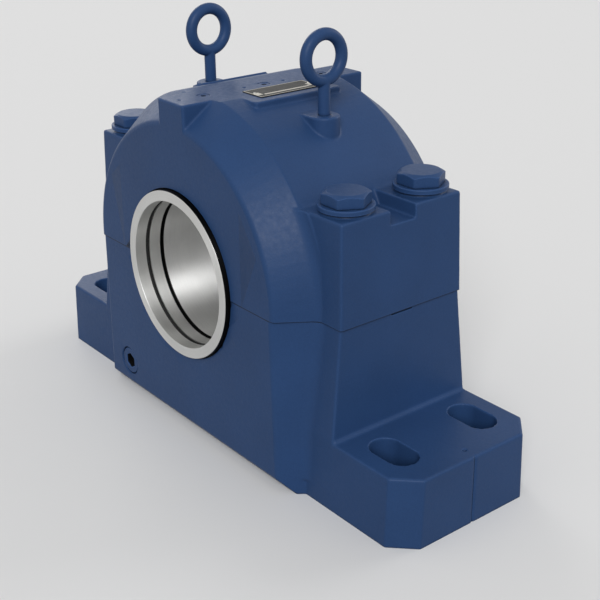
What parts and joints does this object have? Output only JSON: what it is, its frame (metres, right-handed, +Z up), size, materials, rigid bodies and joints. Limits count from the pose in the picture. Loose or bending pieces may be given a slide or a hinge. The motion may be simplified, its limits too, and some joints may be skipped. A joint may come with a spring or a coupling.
{
  "type": "split plummer block",
  "caption": "Two-piece cast housing on slotted feet with a spherical roller bearing on an adapter sleeve, labyrinth seal rings and lifting eyes.",
  "frame": {"origin": "on the floor, under the middle of the bearing", "axes": "+X along the base, +Y along the shaft from the front face (drain plug side) to the back, +Z up"},
  "size_m": [0.811, 0.3068, 0.562],
  "materials": {
    "blue_paint": "satin blue machine paint over a cast surface",
    "turned_steel": "fine turned steel",
    "bearing_steel": "ground steel",
    "plain_steel": "machined steel",
    "cage_metal": "machined brass",
    "iron": "machined cast iron",
    "seal_rubber": "matt black",
    "plate_metal": "black plate with a pale bare border"
  },
  "bodies": {
    "housing": {"base": "blue_paint", "cap": "blue_paint", "cap_bolts": "blue_paint", "cap_washers": "blue_paint", "dowel_pins": "plain_steel", "eye_bolts": "blue_paint", "grease_plugs": "blue_paint", "drain_plug": "blue_paint", "nameplate": "plate_metal", "plate_rivets": "plain_steel", "outer_ring": "bearing_steel", "locating_ring_front": "iron", "locating_ring_back": "iron"},
    "tilt_carrier": {"guide_ring": "bearing_steel"},
    "rotor": {"inner_ring": "bearing_steel", "adapter_sleeve": "plain_steel", "lock_nut": "plain_steel", "locking_clip": "plain_steel", "clip_screw": "plain_steel", "labyrinth_ring_front": "turned_steel", "labyrinth_ring_back": "turned_steel", "seal_cord_front": "seal_rubber", "seal_cord_back": "seal_rubber"},
    "cage": {"cage_front": "cage_metal", "cage_back": "cage_metal"},
    "roller_front_1": {"roller_front_1": "bearing_steel"},
    "roller_front_2": {"roller_front_2": "bearing_steel"},
    "roller_front_3": {"roller_front_3": "bearing_steel"},
    "roller_front_4": {"roller_front_4": "bearing_steel"},
    "roller_front_5": {"roller_front_5": "bearing_steel"},
    "roller_front_6": {"roller_front_6": "bearing_steel"},
    "roller_front_7": {"roller_front_7": "bearing_steel"},
    "roller_front_8": {"roller_front_8": "bearing_steel"},
    "roller_front_9": {"roller_front_9": "bearing_steel"},
    "roller_front_10": {"roller_front_10": "bearing_steel"},
    "roller_front_11": {"roller_front_11": "bearing_steel"},
    "roller_front_12": {"roller_front_12": "bearing_steel"},
    "roller_front_13": {"roller_front_13": "bearing_steel"},
    "roller_front_14": {"roller_front_14": "bearing_steel"},
    "roller_front_15": {"roller_front_15": "bearing_steel"},
    "roller_front_16": {"roller_front_16": "bearing_steel"},
    "roller_front_17": {"roller_front_17": "bearing_steel"},
    "roller_back_1": {"roller_back_1": "bearing_steel"},
    "roller_back_2": {"roller_back_2": "bearing_steel"},
    "roller_back_3": {"roller_back_3": "bearing_steel"},
    "roller_back_4": {"roller_back_4": "bearing_steel"},
    "roller_back_5": {"roller_back_5": "bearing_steel"},
    "roller_back_6": {"roller_back_6": "bearing_steel"},
    "roller_back_7": {"roller_back_7": "bearing_steel"},
    "roller_back_8": {"roller_back_8": "bearing_steel"},
    "roller_back_9": {"roller_back_9": "bearing_steel"},
    "roller_back_10": {"roller_back_10": "bearing_steel"},
    "roller_back_11": {"roller_back_11": "bearing_steel"},
    "roller_back_12": {"roller_back_12": "bearing_steel"},
    "roller_back_13": {"roller_back_13": "bearing_steel"},
    "roller_back_14": {"roller_back_14": "bearing_steel"},
    "roller_back_15": {"roller_back_15": "bearing_steel"},
    "roller_back_16": {"roller_back_16": "bearing_steel"},
    "roller_back_17": {"roller_back_17": "bearing_steel"}
  },
  "joints": [
    {"name": "shaft_tilt", "type": "hinge", "parent": "housing", "child": "tilt_carrier", "pos_m": [0, 0, 0.24], "axis": [0, 0, 1], "range_deg": [-0.25, 0.25]},
    {"name": "rotor_spin", "type": "hinge", "parent": "tilt_carrier", "child": "rotor", "pos_m": [0, 0, 0.24], "axis": [0, 1, 0], "continuous": true},
    {"name": "cage_spin", "type": "hinge", "parent": "tilt_carrier", "child": "cage", "pos_m": [0, 0, 0.24], "axis": [0, 1, 0], "continuous": true},
    {"name": "roller_front_1_spin", "type": "hinge", "parent": "cage", "child": "roller_front_1", "pos_m": [0.05459, -0.02801, 0.38092], "axis": [0.0658, 0.9833, 0.1699], "continuous": true},
    {"name": "roller_front_2_spin", "type": "hinge", "parent": "cage", "child": "roller_front_2", "pos_m": [0.10181, -0.02801, 0.35168], "axis": [0.1228, 0.9833, 0.1347], "continuous": true},
    {"name": "roller_front_3_spin", "type": "hinge", "parent": "cage", "child": "roller_front_3", "pos_m": [0.13528, -0.02801, 0.30736], "axis": [0.1631, 0.9833, 0.0812], "continuous": true},
    {"name": "roller_front_4_spin", "type": "hinge", "parent": "cage", "child": "roller_front_4", "pos_m": [0.15048, -0.02801, 0.25394], "axis": [0.1815, 0.9833, 0.0168], "continuous": true},
    {"name": "roller_front_5_spin", "type": "hinge", "parent": "cage", "child": "roller_front_5", "pos_m": [0.14536, -0.02801, 0.19864], "axis": [0.1753, 0.9833, -0.0499], "continuous": true},
    {"name": "roller_front_6_spin", "type": "hinge", "parent": "cage", "child": "roller_front_6", "pos_m": [0.1206, -0.02801, 0.14893], "axis": [0.1454, 0.9833, -0.1098], "continuous": true},
    {"name": "roller_front_7_spin", "type": "hinge", "parent": "cage", "child": "roller_front_7", "pos_m": [0.07956, -0.02801, 0.11151], "axis": [0.0959, 0.9833, -0.1549], "continuous": true},
    {"name": "roller_front_8_spin", "type": "hinge", "parent": "cage", "child": "roller_front_8", "pos_m": [0.02777, -0.02801, 0.09145], "axis": [0.0335, 0.9833, -0.1791], "continuous": true},
    {"name": "roller_front_9_spin", "type": "hinge", "parent": "cage", "child": "roller_front_9", "pos_m": [-0.02777, -0.02801, 0.09145], "axis": [-0.0335, 0.9833, -0.1791], "continuous": true},
    {"name": "roller_front_10_spin", "type": "hinge", "parent": "cage", "child": "roller_front_10", "pos_m": [-0.07956, -0.02801, 0.11151], "axis": [-0.0959, 0.9833, -0.1549], "continuous": true},
    {"name": "roller_front_11_spin", "type": "hinge", "parent": "cage", "child": "roller_front_11", "pos_m": [-0.1206, -0.02801, 0.14893], "axis": [-0.1454, 0.9833, -0.1098], "continuous": true},
    {"name": "roller_front_12_spin", "type": "hinge", "parent": "cage", "child": "roller_front_12", "pos_m": [-0.14536, -0.02801, 0.19864], "axis": [-0.1753, 0.9833, -0.0499], "continuous": true},
    {"name": "roller_front_13_spin", "type": "hinge", "parent": "cage", "child": "roller_front_13", "pos_m": [-0.15048, -0.02801, 0.25394], "axis": [-0.1815, 0.9833, 0.0168], "continuous": true},
    {"name": "roller_front_14_spin", "type": "hinge", "parent": "cage", "child": "roller_front_14", "pos_m": [-0.13528, -0.02801, 0.30736], "axis": [-0.1631, 0.9833, 0.0812], "continuous": true},
    {"name": "roller_front_15_spin", "type": "hinge", "parent": "cage", "child": "roller_front_15", "pos_m": [-0.10181, -0.02801, 0.35168], "axis": [-0.1228, 0.9833, 0.1347], "continuous": true},
    {"name": "roller_front_16_spin", "type": "hinge", "parent": "cage", "child": "roller_front_16", "pos_m": [-0.05459, -0.02801, 0.38092], "axis": [-0.0658, 0.9833, 0.1699], "continuous": true},
    {"name": "roller_front_17_spin", "type": "hinge", "parent": "cage", "child": "roller_front_17", "pos_m": [0, -0.02801, 0.39113], "axis": [0, 0.9833, 0.1822], "continuous": true},
    {"name": "roller_back_1_spin", "type": "hinge", "parent": "cage", "child": "roller_back_1", "pos_m": [0.05459, 0.02801, 0.38092], "axis": [-0.0658, 0.9833, -0.1699], "continuous": true},
    {"name": "roller_back_2_spin", "type": "hinge", "parent": "cage", "child": "roller_back_2", "pos_m": [0.10181, 0.02801, 0.35168], "axis": [-0.1228, 0.9833, -0.1347], "continuous": true},
    {"name": "roller_back_3_spin", "type": "hinge", "parent": "cage", "child": "roller_back_3", "pos_m": [0.13528, 0.02801, 0.30736], "axis": [-0.1631, 0.9833, -0.0812], "continuous": true},
    {"name": "roller_back_4_spin", "type": "hinge", "parent": "cage", "child": "roller_back_4", "pos_m": [0.15048, 0.02801, 0.25394], "axis": [-0.1815, 0.9833, -0.0168], "continuous": true},
    {"name": "roller_back_5_spin", "type": "hinge", "parent": "cage", "child": "roller_back_5", "pos_m": [0.14536, 0.02801, 0.19864], "axis": [-0.1753, 0.9833, 0.0499], "continuous": true},
    {"name": "roller_back_6_spin", "type": "hinge", "parent": "cage", "child": "roller_back_6", "pos_m": [0.1206, 0.02801, 0.14893], "axis": [-0.1454, 0.9833, 0.1098], "continuous": true},
    {"name": "roller_back_7_spin", "type": "hinge", "parent": "cage", "child": "roller_back_7", "pos_m": [0.07956, 0.02801, 0.11151], "axis": [-0.0959, 0.9833, 0.1549], "continuous": true},
    {"name": "roller_back_8_spin", "type": "hinge", "parent": "cage", "child": "roller_back_8", "pos_m": [0.02777, 0.02801, 0.09145], "axis": [-0.0335, 0.9833, 0.1791], "continuous": true},
    {"name": "roller_back_9_spin", "type": "hinge", "parent": "cage", "child": "roller_back_9", "pos_m": [-0.02777, 0.02801, 0.09145], "axis": [0.0335, 0.9833, 0.1791], "continuous": true},
    {"name": "roller_back_10_spin", "type": "hinge", "parent": "cage", "child": "roller_back_10", "pos_m": [-0.07956, 0.02801, 0.11151], "axis": [0.0959, 0.9833, 0.1549], "continuous": true},
    {"name": "roller_back_11_spin", "type": "hinge", "parent": "cage", "child": "roller_back_11", "pos_m": [-0.1206, 0.02801, 0.14893], "axis": [0.1454, 0.9833, 0.1098], "continuous": true},
    {"name": "roller_back_12_spin", "type": "hinge", "parent": "cage", "child": "roller_back_12", "pos_m": [-0.14536, 0.02801, 0.19864], "axis": [0.1753, 0.9833, 0.0499], "continuous": true},
    {"name": "roller_back_13_spin", "type": "hinge", "parent": "cage", "child": "roller_back_13", "pos_m": [-0.15048, 0.02801, 0.25394], "axis": [0.1815, 0.9833, -0.0168], "continuous": true},
    {"name": "roller_back_14_spin", "type": "hinge", "parent": "cage", "child": "roller_back_14", "pos_m": [-0.13528, 0.02801, 0.30736], "axis": [0.1631, 0.9833, -0.0812], "continuous": true},
    {"name": "roller_back_15_spin", "type": "hinge", "parent": "cage", "child": "roller_back_15", "pos_m": [-0.10181, 0.02801, 0.35168], "axis": [0.1228, 0.9833, -0.1347], "continuous": true},
    {"name": "roller_back_16_spin", "type": "hinge", "parent": "cage", "child": "roller_back_16", "pos_m": [-0.05459, 0.02801, 0.38092], "axis": [0.0658, 0.9833, -0.1699], "continuous": true},
    {"name": "roller_back_17_spin", "type": "hinge", "parent": "cage", "child": "roller_back_17", "pos_m": [0, 0.02801, 0.39113], "axis": [0, 0.9833, -0.1822], "continuous": true}
  ],
  "couplings": [
    {"joint": "cage_spin", "follows": "rotor_spin", "ratio": 0.42843},
    {"joint": "roller_front_1_spin", "follows": "rotor_spin", "ratio": -3.3643},
    {"joint": "roller_front_2_spin", "follows": "rotor_spin", "ratio": -3.3643},
    {"joint": "roller_front_3_spin", "follows": "rotor_spin", "ratio": -3.3643},
    {"joint": "roller_front_4_spin", "follows": "rotor_spin", "ratio": -3.3643},
    {"joint": "roller_front_5_spin", "follows": "rotor_spin", "ratio": -3.3643},
    {"joint": "roller_front_6_spin", "follows": "rotor_spin", "ratio": -3.3643},
    {"joint": "roller_front_7_spin", "follows": "rotor_spin", "ratio": -3.3643},
    {"joint": "roller_front_8_spin", "follows": "rotor_spin", "ratio": -3.3643},
    {"joint": "roller_front_9_spin", "follows": "rotor_spin", "ratio": -3.3643},
    {"joint": "roller_front_10_spin", "follows": "rotor_spin", "ratio": -3.3643},
    {"joint": "roller_front_11_spin", "follows": "rotor_spin", "ratio": -3.3643},
    {"joint": "roller_front_12_spin", "follows": "rotor_spin", "ratio": -3.3643},
    {"joint": "roller_front_13_spin", "follows": "rotor_spin", "ratio": -3.3643},
    {"joint": "roller_front_14_spin", "follows": "rotor_spin", "ratio": -3.3643},
    {"joint": "roller_front_15_spin", "follows": "rotor_spin", "ratio": -3.3643},
    {"joint": "roller_front_16_spin", "follows": "rotor_spin", "ratio": -3.3643},
    {"joint": "roller_front_17_spin", "follows": "rotor_spin", "ratio": -3.3643},
    {"joint": "roller_back_1_spin", "follows": "rotor_spin", "ratio": -3.3643},
    {"joint": "roller_back_2_spin", "follows": "rotor_spin", "ratio": -3.3643},
    {"joint": "roller_back_3_spin", "follows": "rotor_spin", "ratio": -3.3643},
    {"joint": "roller_back_4_spin", "follows": "rotor_spin", "ratio": -3.3643},
    {"joint": "roller_back_5_spin", "follows": "rotor_spin", "ratio": -3.3643},
    {"joint": "roller_back_6_spin", "follows": "rotor_spin", "ratio": -3.3643},
    {"joint": "roller_back_7_spin", "follows": "rotor_spin", "ratio": -3.3643},
    {"joint": "roller_back_8_spin", "follows": "rotor_spin", "ratio": -3.3643},
    {"joint": "roller_back_9_spin", "follows": "rotor_spin", "ratio": -3.3643},
    {"joint": "roller_back_10_spin", "follows": "rotor_spin", "ratio": -3.3643},
    {"joint": "roller_back_11_spin", "follows": "rotor_spin", "ratio": -3.3643},
    {"joint": "roller_back_12_spin", "follows": "rotor_spin", "ratio": -3.3643},
    {"joint": "roller_back_13_spin", "follows": "rotor_spin", "ratio": -3.3643},
    {"joint": "roller_back_14_spin", "follows": "rotor_spin", "ratio": -3.3643},
    {"joint": "roller_back_15_spin", "follows": "rotor_spin", "ratio": -3.3643},
    {"joint": "roller_back_16_spin", "follows": "rotor_spin", "ratio": -3.3643},
    {"joint": "roller_back_17_spin", "follows": "rotor_spin", "ratio": -3.3643}
  ]
}
